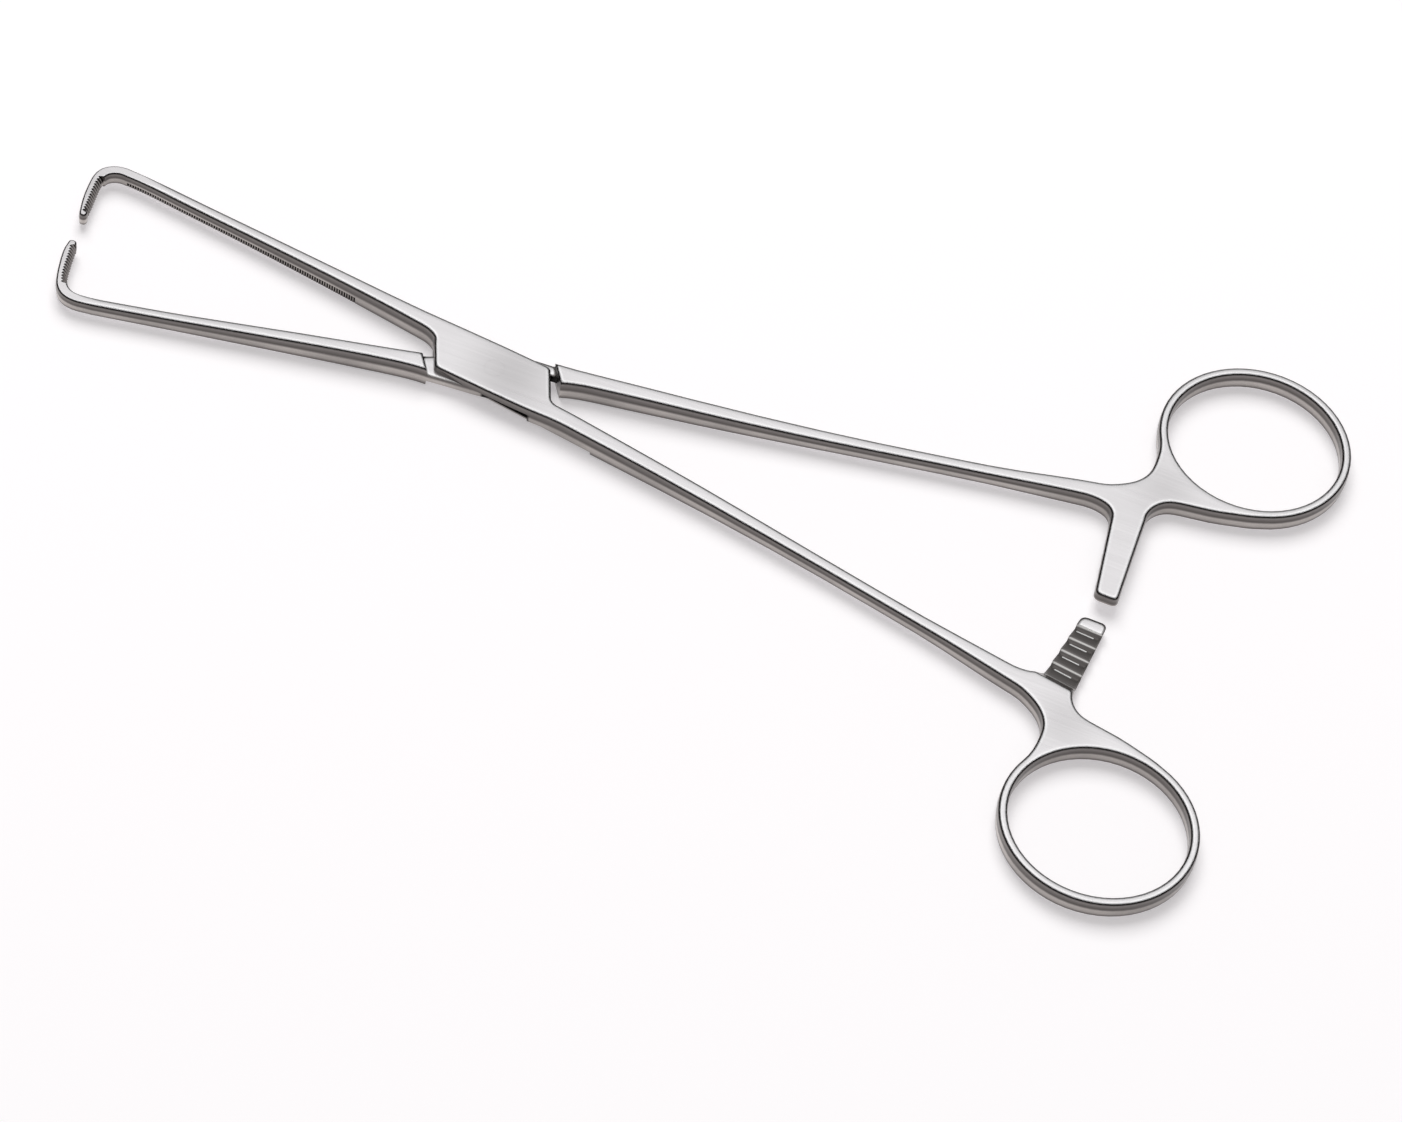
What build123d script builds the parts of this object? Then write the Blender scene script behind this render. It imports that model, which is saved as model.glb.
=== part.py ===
from build123d import *
import math
import os

# Tenaculum forceps: two drop-forged steel arms crossing in a box lock.
# Millimetres. X runs from the jaws to the finger rings, Y across, Z up.
# Each arm is drawn about its forging plane with its ring at +Y and its jaw at -Y.
# The box arm is then turned over to the other side, and everything is lifted so
# that the underside of the lock lies on Z = 0 with the pivot axis at X = Y = 0.

# Forging
draft_angle = 4.0
edge_break = 0.24
lock_half_height = 2.0
jaw_half_height = 1.3
shank_half_height = 1.33
ring_half_height = 1.7
stations = [(-90.0, jaw_half_height), (-60.0, jaw_half_height), (-14.5, lock_half_height),
            (14.5, lock_half_height), (60.0, shank_half_height), (76.0, shank_half_height),
            (93.0, ring_half_height), (140.0, ring_half_height)]
clear_height = 3.0
over = 0.03

# Finger rings
ring_x = 115.7
ring_y = 39.2
ring_outer_x = 15.75
ring_outer_y = 14.7
ring_hole_x = 14.1
ring_hole_y = 12.95

# Box lock
plate_thickness = 1.2
lock_gap = 0.05
window_half_height = lock_half_height - plate_thickness
tang_half_height = window_half_height - lock_gap
window_wall = 9.5
window_wall_angle = 66.0
jaw_shoulder = 10.7
shank_shoulder = 9.8
shoulder_angle = 34.0
bevel_angle = 8.3
bevel_distance = 3.76
bevel_lip = 0.3
bevel_slope = 42.0
notch_side = 2.5
pin_radius = 1.6
pin_bore_radius = pin_radius + 0.05
pin_seat_radius = pin_radius + 0.01

# Ratchet
ratchet_start = 94.0
ratchet_gap = 0.05
ratchet_pitch = 1.56
ratchet_valleys = 4
ratchet_depth = 0.7
ratchet_steep_run = 0.45
ratchet_foot_run = 1.75
box_ratchet_root = 9.2
through_ratchet_root = 8.1
box_ratchet_tip = 3.25
through_ratchet_tip = 0.35

# Serrations
tip_pitch = 0.55
tip_depth = 0.42
tip_count = 14
shank_pitch = 0.46
shank_depth = 0.36
shank_count = 93
tooth_land = 0.05
tip_lean = 26.0

# Edges of the handle shank, seen from above
handle_outer = [(91.9, 20.24), (83.9, 18.22), (73.9, 16.06), (63.9, 14.06), (53.9, 12.18),
                (43.9, 10.42), (33.9, 8.8), (23.95, 7.31), (15.9, 6.14)]
handle_inner = [(16.1, 2.97), (24.06, 4.35), (34.07, 6.06), (44.07, 7.89), (54.08, 9.86),
                (64.08, 11.89), (74.07, 13.89), (84.07, 15.78), (92.0, 17.2)]

# Jaw of the box arm, from the lock to the tip and back
box_jaw_inner = [(-14.0, -2.75), (-22.96, -4.24), (-32.05, -5.6), (-41.25, -6.88),
                 (-50.45, -8.07), (-59.7, -9.22), (-68.5, -10.1)]
box_hook_inner = [(-68.5, -10.1), (-69.8, -10.0), (-70.75, -9.55), (-71.3, -8.75),
                  (-71.48, -7.6), (-71.42, -6.25), (-71.15, -3.78), (-70.85, -0.7)]
box_tip = [(-70.85, -0.7), (-71.4, 0.1), (-72.35, -0.75)]
box_hook_outer = [(-72.35, -0.75), (-73.0, -3.4), (-73.33, -6.2), (-73.4, -7.9),
                  (-73.15, -9.4), (-72.45, -10.6), (-71.3, -11.45), (-69.92, -11.93),
                  (-68.0, -11.98)]
box_jaw_outer = [(-68.0, -11.98), (-59.7, -11.24), (-50.5, -10.18), (-41.3, -9.1),
                 (-32.1, -7.98), (-22.9, -6.85), (-13.8, -5.9)]

# Jaw of the through arm, from the lock to the tip and back
through_jaw_inner = [(-11.8, -1.97), (-16.19, -3.1), (-24.99, -5.21), (-33.89, -7.35),
                     (-42.69, -9.49), (-51.59, -11.62), (-60.48, -13.6), (-64.0, -14.27)]
through_hook_inner = [(-64.0, -14.27), (-65.7, -14.38), (-66.8, -14.15), (-67.68, -13.5),
                      (-68.3, -12.4), (-68.95, -9.96), (-69.44, -7.24), (-69.82, -5.6)]
through_tip = [(-69.82, -5.6), (-70.6, -4.95), (-71.35, -5.75)]
through_hook_outer = [(-71.35, -5.75), (-71.38, -7.2), (-70.85, -10.15), (-69.98, -13.2),
                      (-69.15, -14.75), (-67.9, -15.78), (-66.4, -16.22), (-64.5, -16.18)]
through_jaw_outer = [(-64.5, -16.18), (-60.0, -15.38), (-51.12, -13.47), (-42.22, -11.52),
                     (-33.32, -9.6), (-24.42, -7.7), (-15.44, -5.9), (-11.0, -5.25)]


def heading(degrees):
    """Unit vector of a direction in plan."""
    return (math.cos(math.radians(degrees)), math.sin(math.radians(degrees)))


def run(points, start, end):
    """Smooth edge through plan points that leaves and arrives in set directions."""
    return Spline(*points, tangents=[heading(start), heading(end)])


def ring_point(angle):
    """Point on the outer edge of the finger ring."""
    return (ring_x + ring_outer_x * math.cos(math.radians(angle)),
            ring_y + ring_outer_y * math.sin(math.radians(angle)))


def ring_heading(angle):
    """Direction of the ring's outer edge at a point, going anticlockwise."""
    return math.degrees(math.atan2(ring_outer_y * math.cos(math.radians(angle)),
                                   -ring_outer_x * math.sin(math.radians(angle))))


def ratchet_arm(tip_y):
    """Plan edges of the ratchet arm, from the throat of the shank to the web."""
    corner = 1.1
    left_lean = 0.155
    right_lean = 0.055
    left_root = (99.1, 15.2)
    right_root = (104.45, 17.2)
    left_x = left_root[0] + (left_root[1] - tip_y) * left_lean
    right_x = right_root[0] + (right_root[1] - tip_y) * right_lean
    left_end = (left_x - corner * left_lean, tip_y + corner)
    right_end = (right_x - corner * right_lean, tip_y + corner)
    down = math.degrees(math.atan2(-1.0, left_lean))
    up = math.degrees(math.atan2(1.0, -right_lean))
    return [run([(92.0, 17.2), (95.6, 17.6), (98.0, 17.0), left_root], 9.8, down),
            Line(left_root, left_end),
            run([left_end, (left_x + corner, tip_y)], down, 0.0),
            Line((left_x + corner, tip_y), (right_x - corner, tip_y)),
            run([(right_x - corner, tip_y), right_end], 0.0, up),
            Line(right_end, right_root),
            run([right_root, (104.85, 19.8), (106.5, 21.6), (109.3, 22.45), (112.4, 22.95),
                 (115.5, 23.62), (118.6, 24.5), ring_point(-68.0)], up, ring_heading(-68.0))]


def handle(tip_y):
    """Plan edges from the lock along the inner shank edge, round the ring and back."""
    ring = EllipticalCenterArc((ring_x, ring_y), ring_outer_x, ring_outer_y,
                               start_angle=-68.0, arc_size=271.0)
    crotch = run([ring_point(203.0), (102.15, 28.6), (101.5, 25.2), (98.7, 22.5),
                  handle_outer[0]], ring_heading(203.0), 193.3)
    return ([run(handle_inner, 9.8, 9.8)] + ratchet_arm(tip_y)
            + [ring, crotch, run(handle_outer, 193.3, 188.3)])


def box_outline():
    """Plan of the box arm, anticlockwise from the far side of the lock."""
    return ([run([(-13.8, -5.9), (-7.0, -5.4), (0.0, -4.85), (7.3, -4.15)], 5.0, 6.0),
             run([(7.3, -4.15), (8.39, -3.4)], 6.0, 67.3),
             Line((8.39, -3.4), (10.32, 1.2)),
             run([(10.32, 1.2), (10.85, 1.95), (11.7, 2.3), (12.9, 2.47)], 67.3, 8.8),
             run([(12.9, 2.47), (14.5, 2.7), (16.1, 2.97)], 8.8, 9.8)]
            + handle(box_ratchet_tip)
            + [run([(15.9, 6.14), (12.4, 5.68), (7.9, 5.5), (4.0, 5.2), (0.0, 4.86),
                    (-4.4, 4.42), (-7.7, 4.1)], 188.3, 188.0),
               run([(-7.7, 4.1), (-8.6, 3.85), (-9.0, 3.4)], 188.0, 246.2),
               Line((-9.0, 3.4), (-10.69, -0.5)),
               run([(-10.69, -0.5), (-11.0, -1.35), (-12.0, -2.15), (-14.0, -2.75)],
                   246.2, 190.0),
               run(box_jaw_inner, 190.0, 181.0),
               run(box_hook_inner, 181.0, 85.0),
               run(box_tip, 85.0, 256.0),
               run(box_hook_outer, 256.0, 2.0),
               run(box_jaw_outer, 2.0, 5.0)])


def through_outline():
    """Plan of the through arm, anticlockwise from the near side of the tang."""
    return ([run([(-11.0, -5.25), (-8.4, -5.08), (-4.6, -4.68), (-0.6, -4.3), (3.0, -3.3),
                  (6.4, -1.3), (9.4, 0.9), (12.2, 2.05), (16.1, 2.97)], 6.0, 9.8)]
            + handle(through_ratchet_tip)
            + [run([(15.9, 6.14), (8.5, 5.25), (2.6, 4.85), (-2.2, 4.0), (-6.2, 1.7),
                    (-9.0, -0.6), (-11.8, -1.97)], 188.3, 194.0),
               run(through_jaw_inner, 194.0, 186.0),
               run(through_hook_inner, 186.0, 103.0),
               run(through_tip, 103.0, 268.0),
               run(through_hook_outer, 268.0, 6.0),
               run(through_jaw_outer, 6.0, 6.0)])


def half_height(x):
    """Half the thickness of an arm at a place along it."""
    for (start, before), (end, after) in zip(stations, stations[1:]):
        if x <= end:
            part = (x - start) / (end - start)
            return before + (after - before) * part * part * (3.0 - 2.0 * part)
    return ring_half_height


def height_block():
    """Side profile of an arm: deep at the lock, slim in the jaw and the shank."""
    top = []
    for (start, before), (end, after) in zip(stations, stations[1:]):
        third = (end - start) / 3.0
        if before == after:
            top.append(Line((start, before), (end, after)))
        else:
            top.append(Bezier((start, before), (start + third, before),
                              (end - third, after), (end, after)))
    bottom = [edge.mirror(Plane.XZ) for edge in top]
    first, last = stations[0], stations[-1]
    ends = [Line((first[0], -first[1]), first), Line((last[0], -last[1]), last)]
    return extrude(Plane.XZ * make_face(top + bottom + ends), amount=70, both=True)


def moved_in(edge, position, width, lift):
    """Point of an anticlockwise edge, moved inwards by the draft and a width."""
    place = edge.position_at(position)
    along = edge.tangent_at(position)
    lean = (half_height(place.X) - edge_break) * math.tan(math.radians(draft_angle))
    moved = place + Vector(-along.Y, along.X, 0) * (lean + width)
    return Vector(moved.X, moved.Y, lift(moved.X))


def rim(outline, width, lift):
    """Outline moved inwards and lifted, neighbours sharing their corner points."""
    corners = [moved_in(edge, 1.0, width, lift) for edge in outline]
    result = []
    for index, edge in enumerate(outline):
        start = corners[index - 1]
        end = corners[index]
        if edge.geom_type == GeomType.LINE:
            result.append(Line(start, end))
            continue
        steps = max(8, int(edge.length / 2.5))
        middle = [moved_in(edge, step / steps, width, lift) for step in range(1, steps)]
        result.append(Spline(start, *middle, end))
    return result


def band(low, high):
    """Ruled faces between two rims."""
    return [Face.make_surface_from_curves(before, after) for before, after in zip(low, high)]


def ring_opening():
    """Cutter for the finger ring's hole, narrowest on the forging plane."""
    lean = (ring_half_height - edge_break) * math.tan(math.radians(draft_angle))
    mouth = lean + edge_break + over
    levels = [(0.0, 0.0), (ring_half_height - edge_break, lean),
              (ring_half_height + over, mouth), (clear_height, mouth)]
    sections = [Pos(ring_x, ring_y, height) * Ellipse(ring_hole_x + growth, ring_hole_y + growth)
                for height, growth in levels]
    upper = loft(sections, ruled=True)
    return upper + mirror(upper, about=Plane.XY)


def forging(outline):
    """Arm as it leaves the die and the polishing wheel, before machining."""
    waist = [Spline(*[edge.position_at(step / count) for step in range(count + 1)])
             if edge.geom_type != GeomType.LINE else edge
             for edge, count in [(edge, max(8, int(edge.length / 2.5))) for edge in outline]]
    wall = rim(outline, 0.0, lambda x: half_height(x) - edge_break)
    broken = rim(outline, edge_break + over, lambda x: half_height(x) + over)
    cap = rim(outline, edge_break + over, lambda x: clear_height)
    upper = band(waist, wall) + band(wall, broken) + band(broken, cap) + [Face(Wire(cap))]
    lower = [face.mirror(Plane.XY) for face in upper]
    blank = Solid(Shell(upper + lower))
    return (blank - ring_opening()) & height_block()


def slab(before, after, angle, low, high):
    """Block across the lock between two parallel walls at their distances."""
    block = Box(before + after, 60, high - low)
    return Rot(0, 0, angle) * Pos((after - before) / 2, 0, (low + high) / 2) * block


def tang_notch():
    """Corner taken off the tang beside its shoulder on the shank's side."""
    along = heading(shoulder_angle)
    across = heading(shoulder_angle - 90.0)
    corners = [(shank_shoulder * along[0] + side * across[0],
                shank_shoulder * along[1] + side * across[1])
               for side in (notch_side, 7.0)]
    plan = Polygon(corners[0], (8.1, 3.3), (6.2, 1.2), (2.4, -3.9), (2.2, -6.5), corners[1],
                   align=None)
    return Pos(0, 0, -3.0) * extrude(plan, amount=6.0, dir=(0, 0, 1))


def underside_bevel():
    """Wedge off the lower plate along the outer edge of the box."""
    start = -window_half_height
    foot = start - bevel_lip
    depth = clear_height + foot
    inside = bevel_distance - depth * math.tan(math.radians(bevel_slope))
    section = Polygon((bevel_distance, start), (bevel_distance, foot),
                      (inside, -clear_height), (9.0, -clear_height), (9.0, start), align=None)
    wedge = extrude(Plane.YZ.offset(-16.0) * section, amount=36.0, dir=(1, 0, 0))
    return Rot(0, 0, bevel_angle) * wedge


def upright(radius, low, high):
    """Round bar on the pivot axis."""
    return Pos(0, 0, (low + high) / 2) * Cylinder(radius, high - low)


def ratchet_cutter(root_angle):
    """Material taken off above the teeth: a flat, a foot and a row of valleys."""
    reach = 3.0
    slope = ratchet_foot_run / (ring_half_height + 0.1)
    tooth_run = 103.0 * math.tan(math.radians(ratchet_pitch))
    relief = Polygon((0, -ratchet_gap), (-25, -ratchet_gap), (-25, reach),
                     (slope * reach, reach), align=None)
    valley = Polygon((-tooth_run - 0.02, -ratchet_gap + 0.02),
                     (-tooth_run + ratchet_steep_run, -ratchet_depth),
                     (0, -ratchet_gap), (0, 0.4), (-tooth_run - 0.02, 0.4), align=None)
    side = Plane.YZ.offset(ratchet_start)
    outwards = (1, 0, 0)
    cutter = Rot(0, 0, root_angle) * extrude(side * relief, amount=16, dir=outwards)
    bar = extrude(side * valley, amount=16, dir=outwards)
    for index in range(ratchet_valleys):
        cutter += Rot(0, 0, root_angle - index * ratchet_pitch) * bar
    return cutter


def rack(edge, pitch, depth, count, lean, amount):
    """Cutter with a row of V teeth along the end of a jaw's inner edge."""
    start = edge.length - pitch * (count + 0.5)
    points = []
    for half_step in range(2 * count + 1):
        position = (start + half_step * pitch / 2) / edge.length
        along = edge.tangent_at(position)
        inwards = Vector(-along.Y, along.X, 0)
        reach = depth if half_step % 2 else -tooth_land
        points.append(edge.position_at(position) + inwards * reach)
    points += [points[-1] - inwards * 1.2, points[0] - inwards * 1.2]
    rise = inwards * math.tan(math.radians(lean)) + Vector(0, 0, 1 if amount > 0 else -1)
    return extrude(make_face(Polyline(*points, close=True)), amount=abs(amount), dir=rise)


def serrated(arm, shank_edge, hook_edge):
    """Jaw with teeth across its hook and along the lower half of its shank."""
    hook = rack(hook_edge, tip_pitch, tip_depth, tip_count, tip_lean, 2.0)
    hook += mirror(hook, about=Plane.XY)
    shank = rack(shank_edge, shank_pitch, shank_depth, shank_count, 0.0, -2.0)
    return arm - hook - Pos(0, 0, -0.1) * shank


def box_arm():
    """Female arm: window between two plates, and ratchet teeth on top."""
    arm = forging(box_outline())
    arm -= slab(window_wall, window_wall, 90.0 - window_wall_angle, -window_half_height,
                window_half_height)
    arm -= underside_bevel()
    arm -= upright(pin_seat_radius, -3, 3)
    arm -= ratchet_cutter(box_ratchet_root)
    arm = serrated(arm, run(box_jaw_inner, 190.0, 181.0), run(box_hook_inner, 181.0, 85.0))
    return mirror(arm, about=Plane.XZ)


def through_arm():
    """Male arm: thin tang between two shoulders, and ratchet teeth underneath."""
    arm = forging(through_outline())
    arm -= slab(jaw_shoulder, shank_shoulder, shoulder_angle, tang_half_height, 3.0)
    arm -= slab(jaw_shoulder, shank_shoulder, shoulder_angle, -3.0, -tang_half_height)
    arm -= tang_notch()
    arm -= upright(pin_bore_radius, -3, 3)
    arm -= mirror(ratchet_cutter(through_ratchet_root), about=Plane.XY)
    return serrated(arm, run(through_jaw_inner, 194.0, 186.0),
                    run(through_hook_inner, 186.0, 103.0))


def pivot_pin():
    """Pin of the lock, ground flush with both plates."""
    return upright(pin_radius, -lock_half_height, lock_half_height)


os.makedirs("parts", exist_ok=True)
pieces = {"box_arm": box_arm(), "through_arm": through_arm(), "pivot_pin": pivot_pin()}
for name, piece in pieces.items():
    export_step(Pos(0, 0, lock_half_height) * piece, "parts/" + name + ".step")
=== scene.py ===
import math

import bpy
from mathutils import Matrix, Vector


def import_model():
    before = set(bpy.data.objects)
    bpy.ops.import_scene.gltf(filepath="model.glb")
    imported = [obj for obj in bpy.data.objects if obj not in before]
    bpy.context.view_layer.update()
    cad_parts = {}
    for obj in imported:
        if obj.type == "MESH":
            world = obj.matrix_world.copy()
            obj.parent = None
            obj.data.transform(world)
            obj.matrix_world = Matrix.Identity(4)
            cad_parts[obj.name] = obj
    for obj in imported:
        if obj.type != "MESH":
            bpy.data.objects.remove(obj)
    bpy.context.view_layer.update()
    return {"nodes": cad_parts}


# Sizes and places are in metres, in the frame of the part.

# Camera of the photograph, with its focal length in the photo's pixels
CAMERA_PLACE = Vector((0.149209, -0.497676, 0.705028))
CAMERA_RIGHT = Vector((0.927659, 0.358689, 0.103883))
CAMERA_UP = Vector((-0.352234, 0.748084, 0.562407))
PHOTO_WIDTH = 1402
FOCAL_PIXELS = 5500.3
SENSOR_WIDTH = 36.0
NEAREST_SEEN = 0.01

# Thickness of the arms: half of it at each part, and where it changes along X
LOCK_HALF_HEIGHT = 0.002
JAW_HALF_HEIGHT = 0.0013
SHANK_HALF_HEIGHT = 0.00133
RING_HALF_HEIGHT = 0.0017
MID_PLANE = LOCK_HALF_HEIGHT
JAW_TAPER = (-0.060, -0.0145)
SHANK_TAPER = (0.0145, 0.060)
RING_TAPER = (0.076, 0.093)

# Rounding that the shading gives to the edges; the hooks are slender and get less
ROUNDING = 0.0007
HOOK_ROUNDING = 0.0003
CROWN_REACH = 0.0015
CROWN_SHARE = 0.4
BEVEL_SAMPLES = 12
HOOK_FROM = -0.0655
HOOK_BLEND = (HOOK_FROM, HOOK_FROM + 0.004)
PIN_BLEND = (0.0030, 0.0034)
SMOOTH_ANGLE = 30.0
WELD_REACH = 0.000002

# Upward part of a facet's normal or of the rounded normal, where one paint gives way to the next
WALL_TO_FACE = (0.5, 0.6)
BREAK_TO_FACE = (0.75, 0.9)
LEANING = (0.2, 0.55)
DARK_LINE = (0.955, 0.975)
LIGHT_LINE = (0.9985, 0.995)

# Colours of the faces and of their painted shade; of their edge lines, a painted highlight and a
# painted dark reflection; and of the broken edge below its dark part, a painted dark reflection
# as well
FACE_COLOUR = (0.84, 0.82, 0.832)
FACE_SHADE = (0.70, 0.68, 0.692)
FACE_PAINTED_SHADE = (0.45, 0.435, 0.44)
PAINTED_HIGHLIGHT_COLOUR = (0.97, 0.96, 0.97)
PAINTED_DARK_LINE_COLOUR = (0.02, 0.018, 0.018)
BREAK_REFLECTION_COLOUR = (0.20, 0.185, 0.18)
BREAK_DARK = (0.00013, 0.00018)
# Painted shade in softly darker places on the faces: x, |y|, size and strength
PAINTED_FACE_SHADES = [(0.003, 0.0, 0.011, 0.55), (0.105, 0.024, 0.008, 0.35), (-0.0725, 0.0055, 0.008, 0.3)]

# Wall colours from the foot (0) to the top (1) of a wall, painted reflections: a light foot line,
# a dark line, a lighter lower band and a darker upper band
WALL_REFLECTION_BANDS = [(0.0, (0.80, 0.79, 0.795)), (0.045, (0.80, 0.79, 0.795)), (0.07, (0.14, 0.128, 0.122)),
        (0.14, (0.26, 0.24, 0.228)), (0.30, (0.58, 0.545, 0.52)), (0.52, (0.56, 0.525, 0.50)),
        (0.60, (0.22, 0.203, 0.195)), (0.66, (0.10, 0.091, 0.087)), (0.78, (0.15, 0.138, 0.133)),
        (1.0, (0.25, 0.232, 0.224))]
WALL_SHADE = (0.14, 0.13, 0.125)
CREST_COLOUR = (0.22, 0.207, 0.2)
# Painted shade for creases, found by ambient occlusion, and for the hollows of the lock
PAINTED_DEEP_SHADE = (0.012, 0.011, 0.011)
CREASE_REACH = 0.0004
CREASE_SAMPLES = 8
CREASE_TO_OPEN = (0.42, 0.78)
# Painted shade in the hollows of the lock: x, y and reach, between two heights from the mid-plane
HOLLOW_SHADES = [(0.0040, -0.0042, 0.0042), (0.0091, 0.0032, 0.0011)]
HOLLOW_FADE = 0.0004
HOLLOW_LIFT = (-0.00081, 0.00072)

# Ratchet: degrees from the X axis to the first tooth and from tooth to tooth, and where it is
BOX_RATCHET_ROOT = 9.2
THROUGH_RATCHET_ROOT = 8.1
RATCHET_PITCH = 1.56
RATCHET_NEAR = 0.098
RATCHET_TEETH = (-0.62, 4.02)
RATCHET_BELOW = -0.00003
RATCHET_SIDEWAYS = 0.6
RATCHET_OUTWARDS = 0.1
# Tooth colours from crest to crest, with painted light crest lines and painted shade on the
# slopes, and the painted glint in each valley
TOOTH_LIGHT_AND_SHADE = [(0.0, (0.60, 0.585, 0.575)), (0.03, (0.60, 0.585, 0.575)), (0.07, (0.24, 0.225, 0.22)),
         (0.3, (0.19, 0.175, 0.17)), (0.62, (0.14, 0.13, 0.125)), (0.86, (0.11, 0.10, 0.097)),
         (0.88, (0.16, 0.147, 0.143)), (0.95, (0.20, 0.185, 0.18)), (0.97, (0.60, 0.585, 0.575)),
         (1.0, (0.60, 0.585, 0.575))]
PAINTED_GLINT_COLOUR = (1.0, 1.0, 1.0)
GLINT_PHASE = (0.655, 0.745)
GLINT_REACH = (0.1012, 0.1041)

# Grain of the steel: streaks along the arms, clouds and fine grain
STREAK_STRETCH = (60.0, 2600.0, 2600.0)
STREAK_DETAIL = 4.0
STREAK_LIMITS = (0.3, 0.7)
CLOUD_SCALE = 90.0
GRAIN_SCALE = 5200.0
SPOT_DETAIL = 2.0
GRAIN_SHARE = 0.6
WALL_CLOUD_LIMITS = (0.35, 0.65)
FACE_CLOUD_LIMITS = (0.3, 0.7)
CLOUD_MOST = 0.3
STREAK_MOST = 0.2
ROUGHNESS = (0.20, 0.28)
BUMP_STRENGTH = 0.08
BUMP_HEIGHT = 0.00002

# Stage
FLOOR_SIZE = 8.0
FLOOR_COLOUR = (0.8, 0.788, 0.792)
FLOOR_GLOW = 0.38
GLOW_COLOUR = (1.0, 0.965, 0.985)

# Light: the sky's strength against the sine of its height, its share on dull surfaces, and a lamp
SKY = [(0.0, 0.8), (0.3, 0.7), (0.45, 0.48), (0.55, 0.48), (0.66, 0.85), (0.8, 1.2), (0.9, 1.5),
       (1.0, 0.95)]
FILL_LEVEL = 0.33
KEY_PLACE = (-0.56, 1.2, 2.12)
KEY_SIZE = 1.75
KEY_POWER = 45.0


def camera():
    """The camera at the photograph's place, with its field of view."""
    data = bpy.data.cameras.new("photo_camera")
    data.sensor_width = SENSOR_WIDTH
    data.lens = FOCAL_PIXELS * SENSOR_WIDTH / PHOTO_WIDTH
    data.clip_start = NEAREST_SEEN
    obj = bpy.data.objects.new("photo_camera", data)
    back = CAMERA_RIGHT.cross(CAMERA_UP)
    turn = Matrix((CAMERA_RIGHT, CAMERA_UP, back)).transposed().to_4x4()
    obj.matrix_world = Matrix.Translation(CAMERA_PLACE) @ turn
    bpy.context.scene.collection.objects.link(obj)
    bpy.context.scene.camera = obj


def material(name):
    """A material without nodes, and its tree."""
    mat = bpy.data.materials.new(name)
    mat.use_nodes = True
    mat.node_tree.nodes.clear()
    return mat, mat.node_tree


def node(tree, kind, **values):
    """A shader node; settings by name, input values by socket name in inputs."""
    made = tree.nodes.new(kind)
    for key, value in values.pop("inputs", {}).items():
        made.inputs[key].default_value = value
    for key, value in values.items():
        setattr(made, key, value)
    return made


def parts(tree, vector):
    """Sockets X, Y and Z of a vector."""
    made = node(tree, "ShaderNodeSeparateXYZ")
    tree.links.new(vector, made.inputs["Vector"])
    return made.outputs


def noise(tree, vector, scale, detail):
    """Noise value in a vector space."""
    made = node(tree, "ShaderNodeTexNoise", inputs={"Scale": scale, "Detail": detail})
    tree.links.new(vector, made.inputs["Vector"])
    return made.outputs["Fac"]


def ranged(tree, value, limits, results=(0.0, 1.0), shape="LINEAR"):
    """A value moved from one range to another, held at both ends."""
    made = node(tree, "ShaderNodeMapRange", interpolation_type=shape,
                inputs={"From Min": limits[0], "From Max": limits[1],
                        "To Min": results[0], "To Max": results[1]})
    tree.links.new(value, made.inputs["Value"])
    return made.outputs["Result"]


def mixed(tree, factor, first, second):
    """Colour mixed by a factor; each side is a colour or a socket."""
    made = node(tree, "ShaderNodeMix", data_type="RGBA")
    tree.links.new(factor, made.inputs["Factor"])
    for socket, side in ((made.inputs[6], first), (made.inputs[7], second)):
        if isinstance(side, tuple):
            socket.default_value = side + (1.0,)
        else:
            tree.links.new(side, socket)
    return made.outputs[2]


def arithmetic(tree, operation, first, second=0.0):
    """Sockets or numbers joined by a maths step; a step on one value leaves out the second."""
    made = node(tree, "ShaderNodeMath", operation=operation)
    for socket, side in zip(made.inputs, (first, second)):
        if isinstance(side, float):
            socket.default_value = side
        else:
            tree.links.new(side, socket)
    return made.outputs["Value"]


def times(tree, first, *others):
    """Product of sockets and numbers."""
    for other in others:
        first = arithmetic(tree, "MULTIPLY", first, other)
    return first


def size_of(tree, value):
    """A value without its sign."""
    return arithmetic(tree, "ABSOLUTE", value)


def over(tree, value, limit):
    """1 above a limit, 0 below it."""
    return arithmetic(tree, "GREATER_THAN", value, limit)


def under(tree, value, limit):
    """1 below a limit, 0 above it."""
    return arithmetic(tree, "LESS_THAN", value, limit)


def inside(tree, value, limits):
    """1 between two limits, 0 outside them."""
    return times(tree, over(tree, value, limits[0]), under(tree, value, limits[1]))


def stepped(tree, value, stops):
    """Colour ramp with set stops over a value from 0 to 1."""
    ramp = node(tree, "ShaderNodeValToRGB")
    elements = ramp.color_ramp.elements
    elements.remove(elements[1])
    for index, (position, colour) in enumerate(stops):
        element = elements.new(position) if index else elements[0]
        element.position = position
        element.color = colour + (1.0,)
    tree.links.new(value, ramp.inputs["Fac"])
    return ramp.outputs["Color"]


def blended(tree, factor, first, second):
    """Unit direction between two directions."""
    made = node(tree, "ShaderNodeMix", data_type="VECTOR")
    tree.links.new(factor, made.inputs["Factor"])
    tree.links.new(first, made.inputs[4])
    tree.links.new(second, made.inputs[5])
    unit = node(tree, "ShaderNodeVectorMath", operation="NORMALIZE")
    tree.links.new(made.outputs[1], unit.inputs[0])
    return unit.outputs[0]


def distance_to(tree, x_along, y_across, x, y):
    """Distance in plan to a place."""
    flat = node(tree, "ShaderNodeCombineXYZ")
    tree.links.new(x_along, flat.inputs["X"])
    tree.links.new(y_across, flat.inputs["Y"])
    gap = node(tree, "ShaderNodeVectorMath", operation="DISTANCE")
    gap.inputs[1].default_value = (x, y, 0.0)
    tree.links.new(flat.outputs["Vector"], gap.inputs[0])
    return gap.outputs["Value"]


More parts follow.
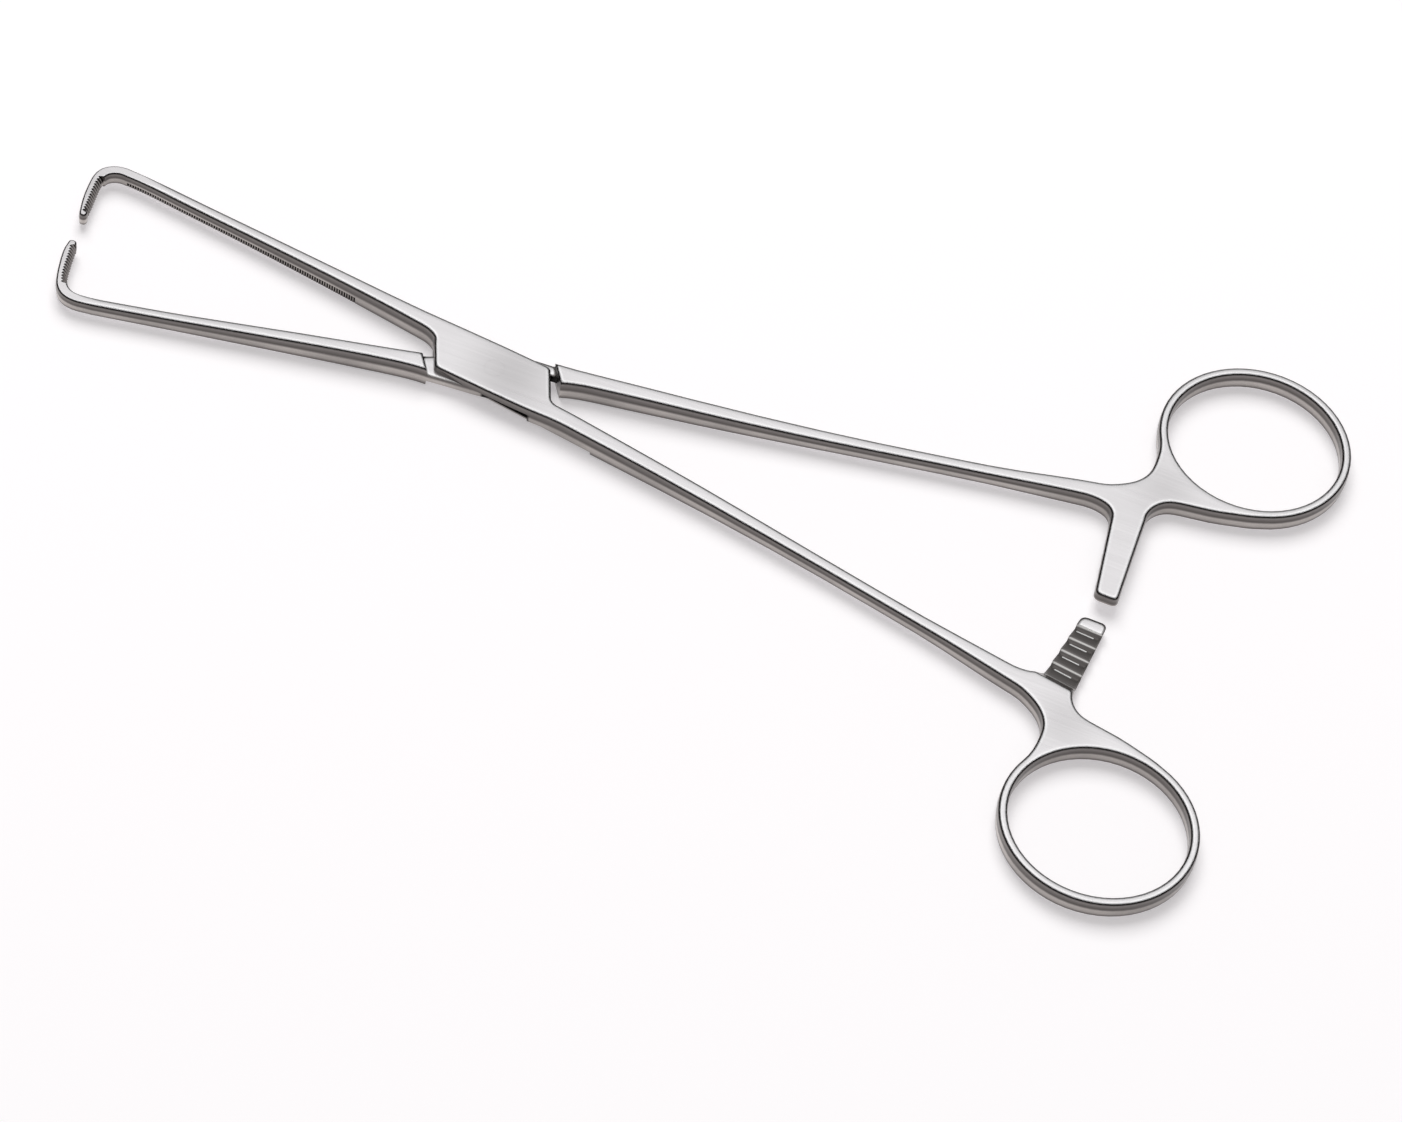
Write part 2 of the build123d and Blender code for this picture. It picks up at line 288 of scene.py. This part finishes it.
def half_height(tree, along):
    """Half the thickness of an arm at its place along X."""
    jaw = ranged(tree, along, JAW_TAPER, (JAW_HALF_HEIGHT, LOCK_HALF_HEIGHT), "SMOOTHSTEP")
    shank = ranged(tree, along, SHANK_TAPER, (LOCK_HALF_HEIGHT, SHANK_HALF_HEIGHT), "SMOOTHSTEP")
    ring = ranged(tree, along, RING_TAPER, (0.0, RING_HALF_HEIGHT - SHANK_HALF_HEIGHT),
                  "SMOOTHSTEP")
    return arithmetic(tree, "ADD", arithmetic(tree, "MINIMUM", jaw, shank), ring)


def rounded_normal(tree, place, flatness, shading):
    """Normals of slightly crowned faces with rolled edges; flat beside the pivot pin."""
    edge = node(tree, "ShaderNodeBevel", samples=BEVEL_SAMPLES)
    tree.links.new(ranged(tree, place["X"], HOOK_BLEND, (HOOK_ROUNDING, ROUNDING)),
                   edge.inputs["Radius"])
    crown = node(tree, "ShaderNodeBevel", samples=BEVEL_SAMPLES, inputs={"Radius": CROWN_REACH})
    share = ranged(tree, place["X"], HOOK_BLEND, (0.0, CROWN_SHARE))
    both = blended(tree, share, edge.outputs["Normal"], crown.outputs["Normal"])
    off_pin = ranged(tree, distance_to(tree, place["X"], place["Y"], 0.0, 0.0), PIN_BLEND)
    return blended(tree, times(tree, flatness, off_pin), shading, both)


def own_normal(tree):
    """Sockets X, Y and Z of the facet's normal, in the arm's own frame."""
    geometry = node(tree, "ShaderNodeNewGeometry")
    turned = node(tree, "ShaderNodeVectorTransform", vector_type="NORMAL",
                  convert_from="WORLD", convert_to="OBJECT")
    tree.links.new(geometry.outputs["True Normal"], turned.inputs[0])
    return parts(tree, turned.outputs[0])


def ratchet_paint(tree, place, lift, root, side):
    """Mask and colour of the ratchet's teeth, with painted light crests, shade and valley glints,
    by angle about the pivot.
    """
    facing = own_normal(tree)
    angle = arithmetic(tree, "ARCTAN2", size_of(tree, place["Y"]), place["X"])
    count = arithmetic(tree, "DIVIDE", arithmetic(tree, "SUBTRACT", math.radians(root), angle),
                       math.radians(RATCHET_PITCH))
    radius = arithmetic(tree, "DIVIDE", place["X"], arithmetic(tree, "COSINE", angle))
    mask = times(tree, inside(tree, count, RATCHET_TEETH),
                 over(tree, radius, RATCHET_NEAR),
                 under(tree, times(tree, lift, side), RATCHET_BELOW),
                 under(tree, size_of(tree, facing["X"]), RATCHET_SIDEWAYS),
                 over(tree, times(tree, facing["Z"], side), RATCHET_OUTWARDS))
    phase = arithmetic(tree, "FRACT", count)
    painted_glint = times(tree, inside(tree, phase, GLINT_PHASE), inside(tree, radius, GLINT_REACH),
                  over(tree, count, 0.0))
    return mask, mixed(tree, painted_glint, stepped(tree, phase, TOOTH_LIGHT_AND_SHADE), PAINTED_GLINT_COLOUR)


def wall_paint(tree, place, depth, steepness, clouds):
    """Walls in painted reflection bands from foot to top, with painted shade in their creases,
    plain on the hooks' teeth.
    """
    cloudy = ranged(tree, clouds, WALL_CLOUD_LIMITS, (0.0, CLOUD_MOST))
    wall = mixed(tree, cloudy, stepped(tree, depth, WALL_REFLECTION_BANDS), WALL_SHADE)
    hook_teeth = times(tree, under(tree, place["X"], HOOK_FROM), inside(tree, steepness, LEANING))
    wall = mixed(tree, hook_teeth, wall, CREST_COLOUR)
    # Painted shade in creases: occluded places turn near black
    crease = node(tree, "ShaderNodeAmbientOcclusion", samples=CREASE_SAMPLES,
                  inputs={"Distance": CREASE_REACH})
    open_air = ranged(tree, crease.outputs["AO"], CREASE_TO_OPEN)
    return mixed(tree, open_air, PAINTED_DEEP_SHADE, wall)


def face_paint(tree, place, clouds, streaks):
    """Faces with clouds, streaks and painted shade in softly darker places."""
    cloudy = ranged(tree, clouds, FACE_CLOUD_LIMITS, (0.0, CLOUD_MOST))
    face = mixed(tree, cloudy, FACE_COLOUR, FACE_SHADE)
    streaky = ranged(tree, streaks, STREAK_LIMITS, (0.0, STREAK_MOST))
    face = mixed(tree, streaky, face, FACE_SHADE)
    either_side = size_of(tree, place["Y"])
    for x, y, size, strength in PAINTED_FACE_SHADES:
        gap = distance_to(tree, place["X"], either_side, x, y)
        shade = ranged(tree, gap, (0.0, size), (strength, 0.0), "SMOOTHSTEP")
        face = mixed(tree, shade, face, FACE_PAINTED_SHADE)
    return face


def edged(tree, face, steepness, roll, below):
    """A face with a painted highlight line and a painted dark reflection line, and the broken
    edge outside them, painted dark as a reflection.
    """
    level = times(tree, ranged(tree, steepness, BREAK_TO_FACE), ranged(tree, roll, DARK_LINE))
    highlight = times(tree, ranged(tree, roll, LIGHT_LINE), level)
    edge = mixed(tree, ranged(tree, below, BREAK_DARK), PAINTED_DARK_LINE_COLOUR, BREAK_REFLECTION_COLOUR)
    return mixed(tree, level, edge, mixed(tree, highlight, face, PAINTED_HIGHLIGHT_COLOUR))


def hollowed(tree, colour, place, lift):
    """A colour turned dark by painted shade in the hollows of the lock."""
    deep = inside(tree, lift, HOLLOW_LIFT)
    for x, y, reach in HOLLOW_SHADES:
        gap = distance_to(tree, place["X"], place["Y"], x, y)
        near = ranged(tree, gap, (reach, reach + HOLLOW_FADE), (1.0, 0.0))
        colour = mixed(tree, times(tree, near, deep), colour, PAINTED_DEEP_SHADE)
    return colour


def steel(name, root, side):
    """Steel of one arm, whose ratchet has its first tooth at root degrees and faces side."""
    mat, tree = material(name)
    space = node(tree, "ShaderNodeTexCoord").outputs["Object"]
    place = parts(tree, space)
    geometry = node(tree, "ShaderNodeNewGeometry")
    steepness = size_of(tree, parts(tree, geometry.outputs["True Normal"])["Z"])
    flatness = ranged(tree, steepness, WALL_TO_FACE)
    normal = rounded_normal(tree, place, flatness, geometry.outputs["Normal"])
    roll = size_of(tree, parts(tree, normal)["Z"])

    lift = arithmetic(tree, "SUBTRACT", place["Z"], MID_PLANE)
    half = half_height(tree, place["X"])
    depth = arithmetic(tree, "ADD", arithmetic(tree, "DIVIDE", lift, times(tree, half, 2.0)), 0.5)
    below = arithmetic(tree, "SUBTRACT", half, size_of(tree, lift))

    stretched = node(tree, "ShaderNodeMapping", inputs={"Scale": STREAK_STRETCH})
    tree.links.new(space, stretched.inputs["Vector"])
    streaks = noise(tree, stretched.outputs["Vector"], 1.0, STREAK_DETAIL)
    clouds = noise(tree, space, CLOUD_SCALE, SPOT_DETAIL)
    grain = noise(tree, space, GRAIN_SCALE, SPOT_DETAIL)

    wall = wall_paint(tree, place, depth, steepness, clouds)
    face = face_paint(tree, place, clouds, streaks)
    face = edged(tree, face, steepness, roll, below)
    colour = hollowed(tree, mixed(tree, flatness, wall, face), place, lift)
    teeth, tooth_colour = ratchet_paint(tree, place, lift, root, side)
    colour = mixed(tree, teeth, colour, tooth_colour)

    bump = node(tree, "ShaderNodeBump", inputs={"Strength": BUMP_STRENGTH,
                                                "Distance": BUMP_HEIGHT})
    tree.links.new(arithmetic(tree, "ADD", streaks, times(tree, grain, GRAIN_SHARE)),
                   bump.inputs["Height"])
    tree.links.new(normal, bump.inputs["Normal"])

    shader = node(tree, "ShaderNodeBsdfPrincipled", inputs={"Metallic": 1.0})
    tree.links.new(colour, shader.inputs["Base Color"])
    tree.links.new(ranged(tree, streaks, STREAK_LIMITS, ROUGHNESS), shader.inputs["Roughness"])
    tree.links.new(bump.outputs["Normal"], shader.inputs["Normal"])
    output = node(tree, "ShaderNodeOutputMaterial")
    tree.links.new(shader.outputs["BSDF"], output.inputs["Surface"])
    return mat


def smoothing():
    """Geometry nodes that shade smooth all but the sharp edges."""
    tree = bpy.data.node_groups.new("smooth_but_sharp", "GeometryNodeTree")
    tree.interface.new_socket("Geometry", in_out="INPUT", socket_type="NodeSocketGeometry")
    tree.interface.new_socket("Geometry", in_out="OUTPUT", socket_type="NodeSocketGeometry")
    start = tree.nodes.new("NodeGroupInput")
    end = tree.nodes.new("NodeGroupOutput")
    angle = tree.nodes.new("GeometryNodeInputMeshEdgeAngle")
    blunt = tree.nodes.new("FunctionNodeCompare")
    blunt.data_type = "FLOAT"
    blunt.operation = "LESS_THAN"
    blunt.inputs["B"].default_value = math.radians(SMOOTH_ANGLE)
    faces = tree.nodes.new("GeometryNodeSetShadeSmooth")
    faces.domain = "FACE"
    edges = tree.nodes.new("GeometryNodeSetShadeSmooth")
    edges.domain = "EDGE"
    tree.links.new(start.outputs[0], faces.inputs["Geometry"])
    tree.links.new(faces.outputs["Geometry"], edges.inputs["Geometry"])
    tree.links.new(angle.outputs["Unsigned Angle"], blunt.inputs["A"])
    tree.links.new(blunt.outputs["Result"], edges.inputs["Shade Smooth"])
    tree.links.new(edges.outputs["Geometry"], end.inputs[0])
    return tree


def dress(obj, smooth_tree, mat):
    """Welds a solid's facets, shades its blunt edges smooth and gives it its steel."""
    weld = obj.modifiers.new("weld", "WELD")
    weld.merge_threshold = WELD_REACH
    smooth = obj.modifiers.new("smooth", "NODES")
    smooth.node_group = smooth_tree
    weighted = obj.modifiers.new("weighted", "WEIGHTED_NORMAL")
    weighted.mode = "FACE_AREA"
    weighted.weight = 100
    weighted.keep_sharp = True
    obj.data.materials.clear()
    obj.data.materials.append(mat)


def seen_directly(tree):
    """1 for camera, glossy and transmission rays, 0 for the light on the object."""
    path = node(tree, "ShaderNodeLightPath")
    shiny = arithmetic(tree, "MAXIMUM", path.outputs["Is Glossy Ray"],
                       path.outputs["Is Transmission Ray"])
    return arithmetic(tree, "MAXIMUM", path.outputs["Is Camera Ray"], shiny)


def floor():
    """White floor that keeps the shadow of the forceps."""
    bpy.ops.mesh.primitive_plane_add(size=FLOOR_SIZE, location=(0, 0, 0))
    obj = bpy.context.object
    obj.name = "floor"
    mat, tree = material("floor_white")
    diffuse = node(tree, "ShaderNodeBsdfDiffuse", inputs={"Color": FLOOR_COLOUR + (1.0,)})
    glow = node(tree, "ShaderNodeEmission", inputs={"Color": GLOW_COLOUR + (1.0,)})
    tree.links.new(times(tree, seen_directly(tree), FLOOR_GLOW), glow.inputs["Strength"])
    both = node(tree, "ShaderNodeAddShader")
    tree.links.new(diffuse.outputs["BSDF"], both.inputs[0])
    tree.links.new(glow.outputs["Emission"], both.inputs[1])
    output = node(tree, "ShaderNodeOutputMaterial")
    tree.links.new(both.outputs["Shader"], output.inputs["Surface"])
    obj.data.materials.append(mat)


def world():
    """Soft studio surround, brightest high up, and white where the camera sees it."""
    made = bpy.data.worlds.new("studio")
    made.use_nodes = True
    tree = made.node_tree
    tree.nodes.clear()
    height = parts(tree, node(tree, "ShaderNodeTexCoord").outputs["Generated"])["Z"]
    sky = stepped(tree, height, [(stop, (level,) * 3) for stop, level in SKY])
    path = node(tree, "ShaderNodeLightPath")
    lit = node(tree, "ShaderNodeMix", data_type="FLOAT")
    tree.links.new(path.outputs["Is Diffuse Ray"], lit.inputs["Factor"])
    tree.links.new(sky, lit.inputs[2])
    tree.links.new(times(tree, sky, FILL_LEVEL), lit.inputs[3])
    strength = arithmetic(tree, "MAXIMUM", lit.outputs[0], path.outputs["Is Camera Ray"])
    background = node(tree, "ShaderNodeBackground")
    tree.links.new(strength, background.inputs["Strength"])
    output = node(tree, "ShaderNodeOutputWorld")
    tree.links.new(background.outputs["Background"], output.inputs["Surface"])
    bpy.context.scene.world = made


def key_lamp():
    """Square lamp aimed at the lock, not mirrored in the steel."""
    data = bpy.data.lights.new("key", "AREA")
    data.shape = "SQUARE"
    data.size = KEY_SIZE
    data.energy = KEY_POWER
    obj = bpy.data.objects.new("key", data)
    obj.location = KEY_PLACE
    obj.rotation_euler = (-Vector(KEY_PLACE)).to_track_quat("-Z", "Y").to_euler()
    obj.visible_glossy = False
    bpy.context.scene.collection.objects.link(obj)


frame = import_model()

box_steel = steel("box_arm_steel", BOX_RATCHET_ROOT, 1.0)
through_steel = steel("through_arm_steel", THROUGH_RATCHET_ROOT, -1.0)
smooth_tree = smoothing()
for name, finish in (("box_arm", box_steel), ("through_arm", through_steel),
                     ("pivot_pin", box_steel)):
    dress(frame["nodes"][name], smooth_tree, finish)

floor()
world()
key_lamp()
camera()
bpy.context.scene.view_settings.view_transform = "Standard"
